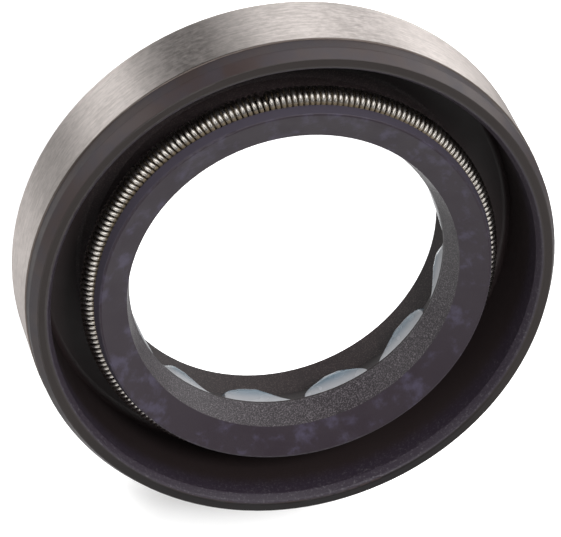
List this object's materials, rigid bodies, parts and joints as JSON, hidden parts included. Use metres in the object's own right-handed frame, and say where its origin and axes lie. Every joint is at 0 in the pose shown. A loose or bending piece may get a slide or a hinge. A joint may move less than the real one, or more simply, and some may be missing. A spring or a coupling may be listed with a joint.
{
  "type": "radial shaft seal",
  "caption": "Metal-cased rotary shaft seal with a rubber rim, a spring-loaded sealing lip, a dust lip and grease laid between the lips.",
  "frame": {"origin": "centre of the steel back face, on which the seal lies", "axes": "+Z along the shaft axis, towards the spring and oil side; -Y towards the joint of the garter spring"},
  "size_m": [0.032, 0.032, 0.007],
  "materials": {
    "case_steel": "ground, fine lines round the outside",
    "seal_rubber": "matt moulded nitrile with a faint blue bloom",
    "spring_steel": "bright drawn wire",
    "grease": "pale translucent grease"
  },
  "bodies": {
    "root": {"steel_case": "case_steel", "rubber_body": "seal_rubber", "garter_spring": "spring_steel", "grease_dabs": "grease"}
  },
  "joints": []
}
